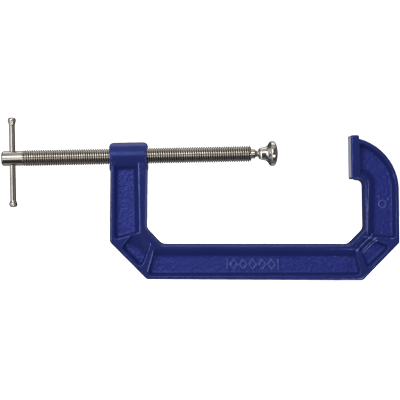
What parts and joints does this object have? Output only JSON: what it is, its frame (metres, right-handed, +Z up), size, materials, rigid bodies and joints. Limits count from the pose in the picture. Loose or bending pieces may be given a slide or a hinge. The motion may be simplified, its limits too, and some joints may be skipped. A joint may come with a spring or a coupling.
{
  "type": "c clamp",
  "caption": "Screw clamp with a ribbed C-shaped cast frame, a coupled screw, a sliding tommy bar and a swivel pad that closes on a flat anvil.",
  "frame": {"origin": "where the screw axis meets the anvil's clamping face", "axes": "+X along the screw axis from the head towards the anvil, +Z up from the throat towards the screw, Y = 0 the casting's plane of symmetry"},
  "size_m": [0.4373, 0.03, 0.1871],
  "materials": {
    "blue_paint": "semi-gloss enamel over a sand-cast surface",
    "nickel_plate": "bright nickel plate over turned steel",
    "spring_steel": "plain spring wire"
  },
  "bodies": {
    "frame": {"frame": "blue_paint"},
    "feed": {"pad_retaining_ring": "spring_steel"},
    "screw": {"spindle": "nickel_plate"},
    "bar": {"tommy_bar": "nickel_plate"},
    "pad": {"swivel_pad": "nickel_plate"}
  },
  "joints": [
    {"name": "screw_feed", "type": "slide", "parent": "frame", "child": "feed", "axis": [1, 0, 0], "range_m": [-0.1231, 0.0789]},
    {"name": "spindle_turn", "type": "hinge", "parent": "feed", "child": "screw", "pos_m": [-0.2, 0, 0], "axis": [1, 0, 0], "range_deg": [-17712, 11347.2]},
    {"name": "bar_slide", "type": "slide", "parent": "screw", "child": "bar", "axis": [0, 0, 1], "range_m": [-0.028, 0.038]},
    {"name": "pad_swivel", "type": "hinge", "parent": "feed", "child": "pad", "pos_m": [-0.09461, 0, 0], "axis": [0, 0, 1], "range_deg": [-13.5, 0.5]}
  ],
  "couplings": [
    {"joint": "screw_feed", "follows": "spindle_turn", "m_per_rad": 0.00039789}
  ]
}
